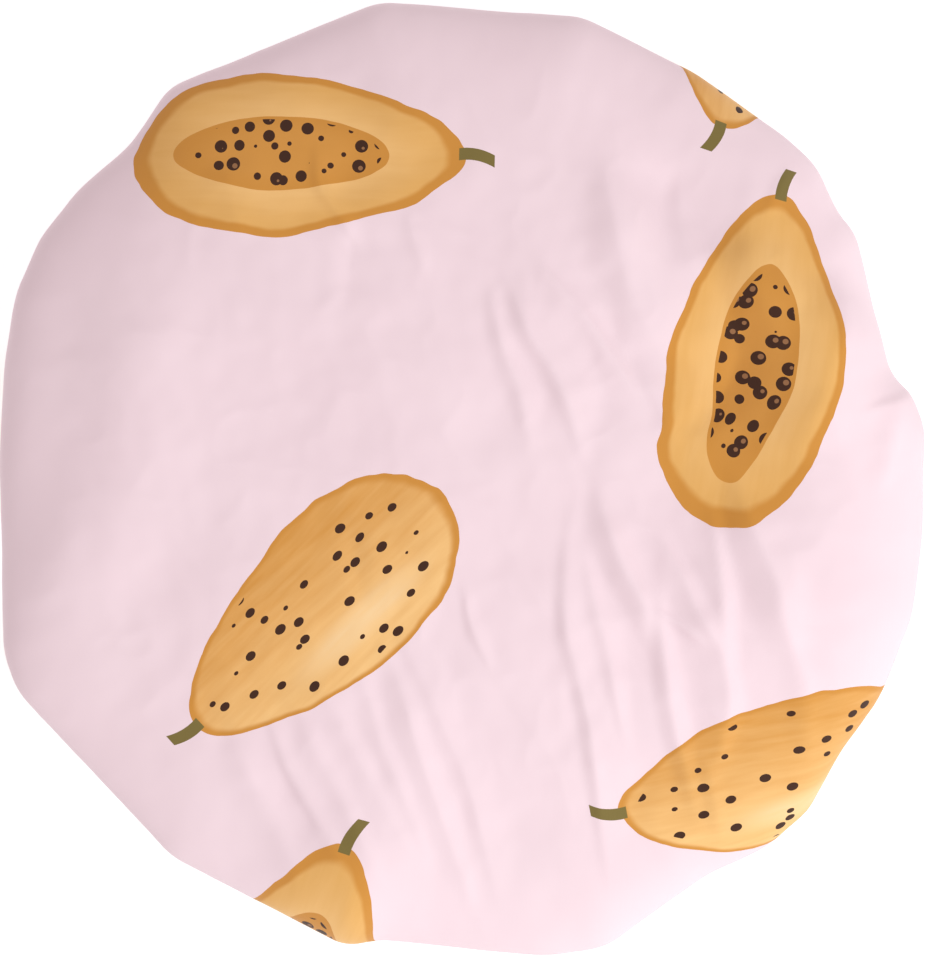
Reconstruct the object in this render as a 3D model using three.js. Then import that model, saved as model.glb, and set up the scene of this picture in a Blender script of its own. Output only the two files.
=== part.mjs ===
// Shower cap lying crown up on a flat surface, in millimetres, +Z up.
// A printed outer disc and a waterproof lining disc are gathered together into a narrow casing
// that holds an elastic band. The origin is under the middle of the cap, on the surface it lies on.
import * as THREE from "three";

// The cap as it lies
const OPENING_DIAMETER = 144; // across the relaxed elastic
const OVERHANG = 74; // from the elastic out to the mean edge of the crown
const CROWN_HEIGHT = 50;
const CROWN_FULLNESS = 2.4; // exponent of the dome: 2 is an ellipse, more has a flatter top
const WIDEST_HEIGHT = 21; // height at which the crown turns under
const FOLD_REACH = 24; // radial reach of the turn under
const REST_WIDTH = 14; // flat ring that lies on the surface
const PUCKER_START = 22; // how far the gathered part runs on level before it rises
const PUCKER_PULL = 14; // how far the gathers bulge above the neck before they turn down

// The two cloths
const SHELL_THICKNESS = 0.35;
const LINING_THICKNESS = 0.15;
const LINING_DROP = 5; // the lining hangs this far below the shell under the crown
const LAYER_GAP = 0.4; // between neighbouring layers

// The gathers between the flat ring and the casing
const GATHERS = 36;
const GATHER_DEPTH = 6; // crest to valley

// The casing, the elastic in it and the sewing
const CASING_THICKNESS = 0.35;
const CASING_LIFT = 0.3; // above the surface that the cap lies on
const CASING_EASE = 0.6; // slack between the tunnel and what it holds
const CASING_RUFFLE = 2.2; // how much further the tunnel stands out at a crest
const FOLD_ROUND = 0.3; // the tunnel is narrower by this at its lower fold
const ELASTIC_WIDTH = 6;
const ELASTIC_THICKNESS = 0.8;
const ELASTIC_OVERLAP = 15; // the ends lie over each other along this length
const SEAM_ALLOWANCE = 5; // depth of the two cloths inside the casing
const SEAM_SETBACK = 1.6; // from the casing's upper edge down to the stitching
const SEAM_GRIP = 0.6; // the casing stays pressed together this far below the stitching
const NECK_LENGTH = 2.4; // from the casing's upper edge up to where the gathers begin
const THREAD_DIAMETER = 0.5;
const THREAD_GAP = 0.3; // from a thread to the cloth that it lies on
const TACK_HEIGHT = 3.2;
const TACK_LENGTH = 8;
const TACK_STROKES = 6;

// Corners of the crown's outline: bearing from +X in degrees, and how far the corner departs from
// the mean edge, in percent of the mean radius
const OUTLINE = [
  [6, -1.4],
  [14.5, -6.8],
  [32, -1.7],
  [41, 0],
  [48, -1.4],
  [60, -1],
  [76, 0.7],
  [100, 2.4],
  [127, 3.4],
  [135.5, -0.3],
  [150, 3.1],
  [165, 0],
  [178, -1.7],
  [203, 4.8],
  [232, 1.4],
  [256, 2.4],
  [260, -0.3],
  [284, 3.8],
  [290, 3.4],
  [302, -1.4],
  [312, 2.1],
  [325, -0.7],
  [342, 0],
  [352, -1.7],
];

// Soft folds of the crown: x and y of the middle, bearing of the long way in degrees, half length,
// half width and height (below zero is a hollow), all but the bearing in percent of the mean radius
const FOLDS = [
  [88, -5, -90, 50, 29, 6.8],
  [63, -25, 60, 19, 13, 1.7],
  [-7, -71, -4, 34, 11, -1.4],
  [-58, 33, -90, 22, 13, 2.1],
  [-77, -11, 52, 20, 12, 2.7],
  [-38, -85, 52, 20, 16, 4.1],
  [-35, -67, -64, 21, 6, 1],
  [-23, -66, -64, 21, 5, 0.7],
  [-8, -63, -72, 26, 7, 1.4],
  [25, -42, -83, 33, 5, 1.3],
  [34, -17, -65, 16, 5, 1.4],
  [45, -51, -80, 23, 5, 0.9],
  [51, -33, -74, 22, 7, 1.8],
  [63, -18, -70, 19, 5, 2.1],
  [70, -45, -82, 15, 5, 0.8],
  [18, 25, -58, 18, 7, 1.4],
  [35, 44, -74, 20, 7, 1.6],
  [55, 33, -68, 22, 9, -3],
  [73, 33, -72, 23, 11, 4],
];
const FOLD_FADE = 12; // exponent: the folds keep their height until close to the outline

// Facets round the cap: a crest and a valley for each gather, halved towards the crown's middle
const STEPS = 2 * GATHERS;
const LAST_STATION = 5; // of the section below, at the cloths' cut edge
const THREAD_SIDES = 6;
const TACK_STEPS_PER_STROKE = 6;

// Places that follow from the driving dimensions
const elasticRadius = OPENING_DIAMETER / 2;
const capRadius = elasticRadius + OVERHANG;
const shellNeck = elasticRadius + LAYER_GAP / 2 + SHELL_THICKNESS;
const outerLeg = shellNeck + LAYER_GAP - elasticRadius;
const innerLeg = LAYER_GAP / 2 + LINING_THICKNESS + LAYER_GAP;
const elasticPitch = ELASTIC_THICKNESS + LAYER_GAP;
const elasticReach = elasticPitch / 2 + ELASTIC_THICKNESS / 2;
const elasticBottom = CASING_LIFT + CASING_THICKNESS + LAYER_GAP;
const elasticTop = elasticBottom + ELASTIC_WIDTH;
const tackReach = elasticReach + THREAD_GAP + THREAD_DIAMETER;
const tunnelReach = tackReach + CASING_EASE;
const tunnelTop = elasticTop + LAYER_GAP;
const hemHeight = tunnelTop + LAYER_GAP;
const casingTop = hemHeight + SEAM_ALLOWANCE;
const seamHeight = casingTop - SEAM_SETBACK;
const gripHeight = seamHeight - SEAM_GRIP;
const neckTop = casingTop + NECK_LENGTH;

const mod = THREE.MathUtils.euclideanModulo;
const lerp = THREE.MathUtils.lerp;
const radians = THREE.MathUtils.degToRad;
const percent = (share) => (capRadius * share) / 100;
const at = (radius, bearing, z) =>
  new THREE.Vector3(radius * Math.cos(bearing), radius * Math.sin(bearing), z);

// Radius of the outline at a bearing in radians: straight stretches between its corners
function edgeRadius(bearing) {
  const turn = mod(THREE.MathUtils.radToDeg(bearing), 360);
  const next = Math.max(0, OUTLINE.findIndex(([corner]) => corner > turn));
  const [fromBearing, fromDeparture] = OUTLINE[mod(next - 1, OUTLINE.length)];
  const [toBearing, toDeparture] = OUTLINE[next];
  const span = radians(mod(toBearing - fromBearing, 360));
  const part = radians(mod(turn - fromBearing, 360));
  const from = capRadius + percent(fromDeparture);
  const to = capRadius + percent(toDeparture);
  return (from * to * Math.sin(span)) / (from * Math.sin(part) + to * Math.sin(span - part));
}

// Outer face of the cap in section, [radius, height]. Stations 0 to 1 are the crown, to 2 the
// turn under, to 3 the flat ring, to 4 the gathers and to 5 the neck that goes into the casing.
function section(station, edge) {
  const foldEnd = edge - FOLD_REACH;
  const restEnd = foldEnd - REST_WIDTH;
  if (station <= 1) {
    const swing = (station * Math.PI) / 2;
    const round = 2 / CROWN_FULLNESS;
    const rise = CROWN_HEIGHT - WIDEST_HEIGHT;
    return [edge * Math.sin(swing) ** round, WIDEST_HEIGHT + rise * Math.cos(swing) ** round];
  }
  if (station <= 2) {
    const swing = ((station - 1) * Math.PI) / 2;
    return [foldEnd + FOLD_REACH * Math.cos(swing), WIDEST_HEIGHT * (1 - Math.sin(swing))];
  }
  if (station <= 3) return [lerp(foldEnd, restEnd, station - 2), 0];
  if (station <= 4) {
    const rise = new THREE.CubicBezierCurve(
      new THREE.Vector2(restEnd, 0),
      new THREE.Vector2(restEnd - PUCKER_START, 0),
      new THREE.Vector2(shellNeck, neckTop + PUCKER_PULL),
      new THREE.Vector2(shellNeck, neckTop),
    );
    return rise.getPoint(station - 3).toArray();
  }
  return [shellNeck, lerp(neckTop, hemHeight, station - 4)];
}

// Direction from the outer face into the cap, in section
function inward(station, edge) {
  const reach = 0.002;
  const [r0, z0] = section(Math.max(0, station - reach), edge);
  const [r1, z1] = section(Math.min(LAST_STATION, station + reach), edge);
  const length = Math.hypot(r1 - r0, z1 - z0);
  return [(z1 - z0) / length, (r0 - r1) / length];
}

// Height of the crown's folds at a place, fading out towards the outline
function foldHeight(place, edge) {
  const fade = 1 - Math.min(1, place.length() / edge) ** FOLD_FADE;
  const heights = FOLDS.map(([x, y, bearing, length, width, height]) => {
    const middle = new THREE.Vector2(percent(x), percent(y));
    const turned = place.clone().rotateAround(middle, -radians(bearing)).sub(middle);
    const along = turned.x / percent(length);
    const across = turned.y / percent(width);
    return percent(height) * Math.exp(-(along ** 2) - across ** 2);
  });
  return fade * heights.reduce((sum, height) => sum + height, 0);
}

// Height of the gathers: nothing at the flat ring and at the neck, full half way between them
function gatherHeight(station, bearing) {
  const along = THREE.MathUtils.clamp(station - 3, 0, 1);
  return (GATHER_DEPTH / 2) * 4 * along * (1 - along) * Math.cos(GATHERS * bearing);
}

// A point of a cloth: depth is measured inwards from the cap's outer face
function clothPoint(station, bearing, depth) {
  const edge = edgeRadius(bearing);
  const [radius, height] = section(station, edge);
  const [inRadius, inHeight] = inward(station, edge);
  const smooth = at(radius, bearing, height);
  const fold = station <= 1 ? foldHeight(new THREE.Vector2(smooth.x, smooth.y), edge) : 0;
  const inset = depth - fold - gatherHeight(station, bearing);
  return at(radius + inRadius * inset, bearing, height + inHeight * inset);
}

function meshGeometry(points, triangles) {
  const geometry = new THREE.BufferGeometry().setFromPoints(points);
  geometry.setIndex(triangles.flat());
  geometry.computeVertexNormals();
  return geometry;
}

// A closed cloth between two depths. Each ring is [station, steps], where a ring has as many
// steps as the ring before it or twice as many.
function clothGeometry(rings, outerDepth, innerDepth) {
  const points = [];
  const triangles = [];
  const add = (point) => points.push(point) - 1;
  const face = (depth) => {
    const middle = add(clothPoint(0, 0, depth(0)));
    const loops = rings.map(([station, steps]) =>
      Array.from({ length: steps }, (_, step) =>
        add(clothPoint(station, (step * 2 * Math.PI) / steps, depth(station))),
      ),
    );
    return { middle, loops };
  };
  const join = (near, far, turned) => {
    const put = (a, b, c) => triangles.push(turned ? [a, c, b] : [a, b, c]);
    const split = far.length / near.length;
    near.forEach((from, step) => {
      const next = near[(step + 1) % near.length];
      const fan = Array.from({ length: split + 1 }, (_, k) => far[(step * split + k) % far.length]);
      put(from, fan[0], fan[1]);
      put(from, fan[1], next);
      if (split === 2) put(next, fan[1], fan[2]);
    });
  };
  const outer = face(outerDepth);
  const inner = face(innerDepth);
  [outer, inner].forEach(({ middle, loops }) => {
    const turned = loops === inner.loops;
    loops[0].forEach((from, step) => {
      const next = loops[0][(step + 1) % loops[0].length];
      triangles.push(turned ? [middle, next, from] : [middle, from, next]);
    });
    loops.slice(1).forEach((loop, k) => join(loops[k], loop, turned));
  });
  join(outer.loops.at(-1), inner.loops.at(-1), false);
  return meshGeometry(points, triangles);
}

// A closed solid through a row of sections, each a list of points that runs clockwise in section
// as the row goes round the cap. An open row gets a cap at each end.
function sweptGeometry(row, isRing) {
  const size = row[0].length;
  const triangles = [];
  const bands = isRing ? row.length : row.length - 1;
  for (let step = 0; step < bands; step += 1) {
    const near = step * size;
    const far = ((step + 1) % row.length) * size;
    for (let k = 0; k < size; k += 1) {
      const next = (k + 1) % size;
      triangles.push([near + k, near + next, far + next], [near + k, far + next, far + k]);
    }
  }
  if (!isRing) {
    const end = (row.length - 1) * size;
    for (let k = 1; k < size - 1; k += 1) {
      triangles.push([0, k + 1, k], [end, end + k, end + k + 1]);
    }
  }
  return meshGeometry(row.flat(), triangles);
}

// Rings of the two cloths: the lining hangs free under the crown and needs fewer there
const gatherRings = [3, 3.25, 3.5, 3.75, 4, LAST_STATION].map((station) => [station, STEPS]);
const shellRings = [
  [0.1, STEPS / 4],
  [0.17, STEPS / 2],
  ...[0.24, 0.31, 0.38, 0.45, 0.52, 0.6, 0.7, 0.8, 0.9, 1].map((station) => [station, STEPS]),
  ...[1.33, 1.67, 2].map((station) => [station, STEPS]),
  ...gatherRings,
];
const liningRings = [
  [0.17, STEPS / 2],
  ...[0.31, 0.38, 0.45, 0.6, 0.8, 1, 1.5, 2].map((station) => [station, STEPS]),
  ...gatherRings,
];

function outerShell() {
  return clothGeometry(
    shellRings,
    () => 0,
    () => SHELL_THICKNESS,
  );
}

function waterproofLining() {
  const spread = (station) => THREE.MathUtils.clamp((station - 1) / 2, 0, 1);
  const face = (station) => SHELL_THICKNESS + lerp(LINING_DROP, LAYER_GAP, spread(station));
  return clothGeometry(liningRings, face, (station) => face(station) + LINING_THICKNESS);
}

// The casing is one strip folded into a U: two legs sewn over the gathered cloths, and a tunnel
// below them that ruffles between a crest and a valley at each gather.
function edgeCasing() {
  const sides = (step) => {
    const crest = step % 2 === 0 ? CASING_RUFFLE : 0;
    const tunnel = tunnelReach + crest;
    const face = (leg, thickness) => [
      [leg + thickness, casingTop],
      [leg + thickness, gripHeight],
      [tunnel + thickness, tunnelTop],
      [tunnel - FOLD_ROUND + thickness, CASING_LIFT + CASING_THICKNESS - thickness],
    ];
    const mirror = (points) => points.map(([reach, z]) => [-reach, z]).reverse();
    return [
      ...face(outerLeg, CASING_THICKNESS),
      ...mirror(face(innerLeg, CASING_THICKNESS)),
      ...mirror(face(innerLeg, 0)).reverse(),
      ...face(outerLeg, 0).reverse(),
    ];
  };
  const row = Array.from({ length: STEPS }, (_, step) =>
    sides(step).map(([reach, z]) => at(elasticRadius + reach, (step * 2 * Math.PI) / STEPS, z)),
  );
  return sweptGeometry(row, true);
}

// The elastic is one strip that winds outwards, so that its two ends lie over each other
function elasticBand() {
  const turn = 2 * Math.PI + ELASTIC_OVERLAP / elasticRadius;
  const row = Array.from({ length: STEPS + 1 }, (_, step) => {
    const bearing = (turn * step) / STEPS;
    const middle = elasticRadius + elasticPitch * (bearing / (2 * Math.PI) - 0.5);
    const outside = middle + ELASTIC_THICKNESS / 2;
    const inside = middle - ELASTIC_THICKNESS / 2;
    return [
      at(outside, bearing, elasticTop),
      at(outside, bearing, elasticBottom),
      at(inside, bearing, elasticBottom),
      at(inside, bearing, elasticTop),
    ];
  });
  return sweptGeometry(row, false);
}

// A zigzag of thread that holds the elastic's overlapped ends together
function elasticTack() {
  const radius = tackReach - THREAD_DIAMETER / 2 + elasticRadius;
  const middle = (elasticTop + elasticBottom) / 2;
  const start = (ELASTIC_OVERLAP - TACK_LENGTH) / 2;
  const corners = Array.from({ length: TACK_STROKES + 1 }, (_, stroke) => {
    const along = start + (TACK_LENGTH * stroke) / TACK_STROKES;
    const side = stroke % 2 === 0 ? -1 : 1;
    return at(radius, along / elasticRadius, middle + (side * TACK_HEIGHT) / 2);
  });
  const thread = new THREE.Shape().absarc(0, 0, THREAD_DIAMETER / 2, 0, 2 * Math.PI);
  return new THREE.ExtrudeGeometry(thread, {
    extrudePath: new THREE.CatmullRomCurve3(corners),
    steps: TACK_STROKES * TACK_STEPS_PER_STROKE,
    curveSegments: THREAD_SIDES,
  });
}

// A ring of seam thread that lies on one face of the casing
function seamThread(reach) {
  const radius = elasticRadius + reach;
  const geometry = new THREE.TorusGeometry(radius, THREAD_DIAMETER / 2, THREAD_SIDES, STEPS);
  return geometry.translate(0, 0, seamHeight);
}

const threadOffset = CASING_THICKNESS + THREAD_GAP + THREAD_DIAMETER / 2;
const printedCloth = new THREE.MeshStandardMaterial({ color: 0xf4dee6, roughness: 0.85, metalness: 0 });
const casingCloth = new THREE.MeshStandardMaterial({ color: 0xf1d6df, roughness: 0.85, metalness: 0 });
const liningFilm = new THREE.MeshStandardMaterial({ color: 0xf3f1ee, roughness: 0.4, metalness: 0 });
const elasticKnit = new THREE.MeshStandardMaterial({ color: 0xf2f0ec, roughness: 0.9, metalness: 0 });
const sewingThread = new THREE.MeshStandardMaterial({ color: 0xf0ccd8, roughness: 0.7, metalness: 0 });

const showerCap = new THREE.Group();
[
  ["outer_shell", outerShell(), printedCloth],
  ["waterproof_lining", waterproofLining(), liningFilm],
  ["edge_casing", edgeCasing(), casingCloth],
  ["elastic_band", elasticBand(), elasticKnit],
  ["elastic_tack", elasticTack(), sewingThread],
  ["seam_needle_thread", seamThread(outerLeg + threadOffset), sewingThread],
  ["seam_bobbin_thread", seamThread(-innerLeg - threadOffset), sewingThread],
].forEach(([name, geometry, material]) => {
  const mesh = new THREE.Mesh(geometry, material);
  mesh.name = name;
  showerCap.add(mesh);
});

export default showerCap;
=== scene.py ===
"""Shower cap lying crown up on a pale floor: cloth, film, elastic and thread, in metres, +Z up."""

import math

import bpy
import numpy as np
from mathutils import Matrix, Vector, noise


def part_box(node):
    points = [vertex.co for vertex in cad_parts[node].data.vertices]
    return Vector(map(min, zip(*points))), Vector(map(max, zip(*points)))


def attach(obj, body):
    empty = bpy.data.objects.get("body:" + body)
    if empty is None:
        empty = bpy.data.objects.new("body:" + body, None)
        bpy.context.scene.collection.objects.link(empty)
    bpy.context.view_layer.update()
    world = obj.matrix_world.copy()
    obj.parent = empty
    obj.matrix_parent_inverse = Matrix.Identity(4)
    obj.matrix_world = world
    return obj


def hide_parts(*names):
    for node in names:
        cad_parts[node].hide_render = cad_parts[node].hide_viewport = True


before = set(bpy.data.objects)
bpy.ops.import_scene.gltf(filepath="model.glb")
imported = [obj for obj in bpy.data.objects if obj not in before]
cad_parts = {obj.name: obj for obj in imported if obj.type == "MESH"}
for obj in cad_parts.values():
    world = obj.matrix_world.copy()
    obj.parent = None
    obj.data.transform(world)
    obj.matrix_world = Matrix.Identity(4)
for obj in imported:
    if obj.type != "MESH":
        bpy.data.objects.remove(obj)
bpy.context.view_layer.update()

MM = 0.001
PIXEL = 0.31 * MM
PHOTO_SIZE = (925, 955)

# The cap as it lies; the outline's corners are rounded over some degrees
ELASTIC_RADIUS = 72 * MM
CAP_RADIUS = 146 * MM
CROWN_HEIGHT = 50 * MM
CROWN_FULLNESS = 2.4
WIDEST_HEIGHT = 21 * MM
FOLD_REACH = 24 * MM
REST_WIDTH = 14 * MM
PUCKER_START = 22 * MM
PUCKER_PULL = 14 * MM
ROUND_MIDDLE = 0.9
CORNER_ROUND = 1.6
CORNER_SAMPLES = 9

# Stations along the cap's section, counted from the crown's middle at 0
AT_RIM = 1
AT_FLOOR = 2
AT_RISE = 3
AT_NECK = 4
AT_HEM = 5

# Cloth; the fades are in stations
SHELL_THICKNESS = 0.35 * MM
LINING_THICKNESS = 0.15 * MM
LINING_DROP = 5 * MM
LAYER_GAP = 0.4 * MM
FLOOR_GAP = 0.05 * MM
CROWN_FADE_START = 0.9
CROWN_FADE = 0.25
UNDER_FADE = 1.5

# Folds of the crown
CREST_ROUND = 0.45 * MM
FOOT_SHARE = 0.12
FOLD_FADE = 0.36
FOLD_TAPER = 0.6
FOLD_MARGIN = 2.5
FOLD_WANDER = 0.9 * MM
WANDER_SIZE = 17 * MM
WANDER_SHIFTS = (0, 40.5)
RUN_ON = 0.6
LINE_PARTS = 5

# Short faint creases of the crown: angles in degrees, sizes in millimetres, the heading with its spread
MINOR_FOLDS = 60
MINOR_SEED = 11
MINOR_BEARINGS = (-140, 65)
MINOR_RADII = (35, 122)
MINOR_HEADING = (-66, 13)
MINOR_HALF_LENGTHS = (7, 20)
MINOR_BEND = 0.12
MINOR_HEIGHTS = (0.15, 0.45)
MINOR_FLANKS = (2, 7)

# Chance crumples: height, size and octaves of each kind, and how they calm down at the rim and the neck
SOFT_CRUMPLE = (1.5 * MM, 50 * MM, 2)
SHARP_CRUMPLE = (0.75 * MM, 30 * MM, 3)
FILM_CRUMPLE = (0.8 * MM, 28 * MM, 2)
SHARP_LEVEL = 0.4
SHARP_SHIFT = 1
CRUMPLE_SMOOTHNESS = 0.8
OCTAVE_STEP = 2.1
RIM_CALM = 0.7
RIM_CALM_REACH = 0.3
CRUMPLE_FADE = 0.5

# Gathers of three widths: depths, and places and reaches in stations
GATHERS = 96
GATHER_SEED = 5
GATHER_WARP = 0.22
GATHER_WAVES = (3, 5, 8, 13)
PINCH_ROUND = 0.02
FINE_DEPTH = 2.4 * MM
MIDDLE_DEPTH = 6.0 * MM
MIDDLE_PLACE = 0.38
GATHER_REACH = 0.34
NECK_FADE = 0.12
BROAD_DEPTH = 5.2 * MM
BROAD_START = 0.92
BROAD_RISE = 0.9
BROAD_FALL = 1.2
UNEVEN_SHARE = 0.3
UNEVEN_WAVES = ((7, 1), (4, 2))

# Sewn edge, at the heights that the frame gives
CASING_THICKNESS = 0.35 * MM
CASING_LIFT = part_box("edge_casing")[0].z
CASING_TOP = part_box("edge_casing")[1].z
CASING_RUFFLE = 2.2 * MM
RUFFLE_LIFT = 0.7 * MM
RUFFLE_UNEVEN = 0.2
RUFFLE_WAVES = 5
TUNNEL_REACH = 2.4 * MM
TUNNEL_EASE = 1.6 * MM
TUNNEL_LOW = 1.6 * MM
TUNNEL_ROUND = 0.65
OUTER_LEG = LAYER_GAP / 2 + SHELL_THICKNESS + LAYER_GAP
INNER_LEG = LAYER_GAP / 2 + LINING_THICKNESS + LAYER_GAP
ELASTIC_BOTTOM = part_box("elastic_band")[0].z
ELASTIC_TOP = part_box("elastic_band")[1].z
ELASTIC_THICKNESS = 0.8 * MM
ELASTIC_PITCH = ELASTIC_THICKNESS + LAYER_GAP
ELASTIC_OVERLAP = 15 * MM
ELASTIC_RIBS = 7
RIB_DEPTH = 0.12 * MM
SEAM_HEIGHT = sum(corner.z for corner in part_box("seam_needle_thread")) / 2
GRIP_HEIGHT = SEAM_HEIGHT - 0.6 * MM
STITCH_LENGTH = 2.4 * MM
STITCH_DIP = 0.7 * MM
STITCH_BEND = 0.2
STITCH_SLANT = 0.14 * MM
THREAD_DIAMETER = 0.5 * MM
TACK_HEIGHT = 3.2 * MM
TACK_LENGTH = 8 * MM
TACK_STROKES = 6
TACK_SHARPNESS = 0.96
HEM_HEIGHT = ELASTIC_TOP + 2 * LAYER_GAP
NECK_TOP = CASING_TOP + 2.4 * MM
SHELL_NECK = ELASTIC_RADIUS + LAYER_GAP / 2 + SHELL_THICKNESS

# Flat cuts
CASING_CUT = (32 * MM, 600 * MM)

# Meshes: stations of the stages, spacing of the rings in each, widest steps, and numbers of points
STAGES = (0, 0.54, AT_RIM, AT_RISE, AT_NECK, AT_HEM)
SHELL_ROWS = (1.45 * MM, 2.4 * MM, 4.8 * MM, 3.2 * MM, 3.2 * MM)
HIDDEN_ROWS = (5 * MM, 5 * MM, 5 * MM, 3.2 * MM, 3.2 * MM)
SHELL_STEP = 1.2 * MM
HIDDEN_STEP = 2.4 * MM
HIDDEN_DROP = 1.0 * MM
MIDDLE_STEPS = 6
HEM_STEPS = 768
HEM_STEPS_FROM = 2.6
SECTION_SAMPLES = 5001
SECTION_NUDGE = 0.002
FLAT_ROWS = 100
FLAT_RADII = (130, 156)
LEG_POINTS = 4
BEND_POINTS = 8
ELASTIC_STEPS = 300
RIB_POINTS = 6
STROKE_POINTS = 12
STITCH_POINTS = 10
THREAD_SIDES = 8

# Print: fruits tossed over a half-drop lattice; on a fruit, shares of its half length and half width
PRINT_CELL = (142 * MM, 130 * MM)
PRINT_SHIFT = (20 * MM, -34 * MM)
PRINT_JITTER = (18 * MM, 14 * MM)
FRUIT_SIZE = (104 * MM, 54 * MM)
FRUIT_TAPER = 0.24
FRUIT_GIRTH = 0.92
WOBBLE = 0.09
WOBBLE_SIZE = 14 * MM
BRUSH_SIZE = (26 * MM, 3 * MM)
FLESH_FADE = (0.35, 0.95)
FLESH_TONE = (0.7, 0.5, -0.05)
HALF_RIND = (0.87, 0.93)
HOLLOW_PLACE = (0.10, 0.0)
HOLLOW_SIZE = (0.64, 0.42)
HOLLOW_FADE = (0.5, 1.0)
HOLLOW_TONE = (0.7, 0.4, 0.0)
SEED_SPACING = 5.6 * MM
SEED_RADIUS = 0.38
SEED_ZONE = 0.92
SEED_LAYOUTS = 40.0
SHINE_RADIUS = 0.15
SHINE_SHIFT = (0.5 * MM, 0.6 * MM)
SKIN_FADE = (-0.9, 0.9)
SKIN_TONE = (0.75, 0.8, -0.3)
WHOLE_RIND = (0.92, 0.98)
GLOW_PLACE = (0.15, -0.42)
GLOW_SIZE = (0.6, 0.24)
GLOW_FADE = (1.1, 0.3)
GLOW_STRENGTH = 0.9
FRECKLE_SPACING = 6.4 * MM
FRECKLE_RADIUS = 0.21
FRECKLE_ZONE = 0.88
FRECKLE_STRETCH = 0.7
STALK_ENDS = (-1.17, -0.96)
STALK_WIDTH = 0.07
STALK_BEND = 3.0

# Colours, linear
PINK = (0.885, 0.708, 0.75)
PINK_SHADE = (0.855, 0.668, 0.714)
AMBER = (0.62, 0.27, 0.045)
GOLD = (0.75, 0.40, 0.11)
GOLD_LIGHT = (0.90, 0.55, 0.22)
GOLD_DEEP = (0.66, 0.30, 0.06)
GOLD_PALE = (0.96, 0.72, 0.42)
SEED_BROWN = (0.05, 0.016, 0.006)
SEED_SHINE = (0.30, 0.14, 0.06)
STALK_GREEN = (0.20, 0.15, 0.04)
FILM_WHITE = (0.84, 0.84, 0.83)
FILM_SHADE = (0.78, 0.78, 0.78)
ELASTIC_WHITE = (0.82, 0.81, 0.79)
# painted shade: the elastic's colour in the grooves of its knit relief
ELASTIC_GROOVE_SHADE = (0.7, 0.69, 0.66)
THREAD_PINK = (0.86, 0.63, 0.71)
# painted shade: the thread's colour in the grooves between its twisted strands
THREAD_GROOVE_SHADE = (0.76, 0.52, 0.60)

# Surfaces: sizes of clouds and marks, roughness as spread and lowest value, relief as depth and strength
CLOUD_DETAIL = 4.0
DOT_SCATTER = 0.75
PRINT_CLOUD = 45 * MM
CASING_CLOUD = 20 * MM
CLOTH_CLOUD = 9 * MM
CLOTH_ROUGHNESS = (0.12, 0.76)
CLOTH_SHEEN = 0.12
CLOTH_SHEEN_ROUGHNESS = 0.5
CLOTH_SPECULAR = 0.3
THREAD_PITCH = 0.5 * MM
SLUB_SIZE = (1.3 * MM, 16 * MM)
PRINT_WEAVE = (0.04 * MM, 0.35)
CASING_WEAVE = (0.04 * MM, 0.4)
FILM_CLOUD = 60 * MM
FILM_HAZE = 12 * MM
FILM_ROUGHNESS = (0.2, 0.3)
EMBOSS_SPACING = 1.4 * MM
EMBOSS_CLOUD = 5 * MM
EMBOSS_DETAIL = 3.0
EMBOSS = (0.06 * MM, 0.3)
KNIT_LENGTH = 1.1 * MM
KNIT_SLANT = 3.5
# how strongly the painted shade darkens the knit's grooves
KNIT_GROOVE_SHADING = 1.2
KNIT_CLOUD = (3 * MM, 0.2)
KNIT_ROUGHNESS = (0.1, 0.8)
KNIT_RELIEF = (0.15 * MM, 0.6)
TWIST_LENGTH = 0.9 * MM
TWIST_STRANDS = 3
TWIST_ROUGHNESS = (0.05, 0.55)
TWIST_RELIEF = (0.05 * MM, 0.6)

# Studio: metres, watts and degrees
FLOOR_REACH = 6
FLOOR_GREY = (0.45, 0.45, 0.45)
FLOOR_ROUGHNESS = 0.9
FLOOR_GLOW = 0.74
WHITE = (1, 1, 1)
CAMERA_DISTANCE = 1.6
SENSOR_HEIGHT = 24
ROOM_COLOUR = (1, 0.92, 0.935)
ROOM_STRENGTH = 0.595
SOFTBOX_COLOUR = (0.94, 1, 1)
SOFTBOX_POWER = 32
SOFTBOX_SIZE = 1.4
SOFTBOX_BEARING = -38
SOFTBOX_ELEVATION = 50
SOFTBOX_DISTANCE = 2.2

# Broad swells of the crown, or dents where the height is below zero: middle, the bearing of the long
# way in degrees, half length, half width and height, in millimetres. They fade out at the outline.
SWELLS = [
    ((128, -8), -90, 90, 52, 10.0),
    ((92, -36), 60, 34, 24, 2.5),
    ((127, -79), -60, 46, 32, 5.5),
    ((-10, -104), -4, 60, 20, -2.0),
    ((-97, 42), -90, 46, 24, 4.2),
    ((-118, -24), 52, 36, 22, 4.4),
    ((-34, -128), 76, 44, 30, 7.6),
    ((112, 40), -50, 28, 18, 6.2),
    ((67, 82), -45, 26, 14, -4.6),
    ((92, 60), -45, 20, 12, 2.4),
    ((78, 24), -60, 24, 18, -3.2),
    ((48, 78), -70, 24, 12, 1.5),
]
SWELL_SLOPE = 1.5
SWELL_FADE = 12

# Corners of the outline: bearing from +X in degrees, radius in millimetres
OUTLINE = [
    (6, 144.1), (10.5, 141.7), (13.5, 136.6), (15.5, 136), (32, 143.4), (35, 142), (41.5, 146.2),
    (47, 145.2), (60, 144.6), (75.5, 147.1), (100, 149.6), (127, 151.1), (135.5, 145.7), (143, 148.8),
    (150.5, 150.4), (157.5, 149.4), (165.5, 146.2), (178, 143.4), (201, 152.5), (205.5, 153.3),
    (232.5, 147.9), (256, 149.6), (259.5, 145.6), (280, 150.2), (287, 151.8), (302, 144.2),
    (309.5, 148.3), (316, 148.8), (325, 144.6), (332, 145.9), (342, 145.9), (352, 143.5),
]

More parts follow.
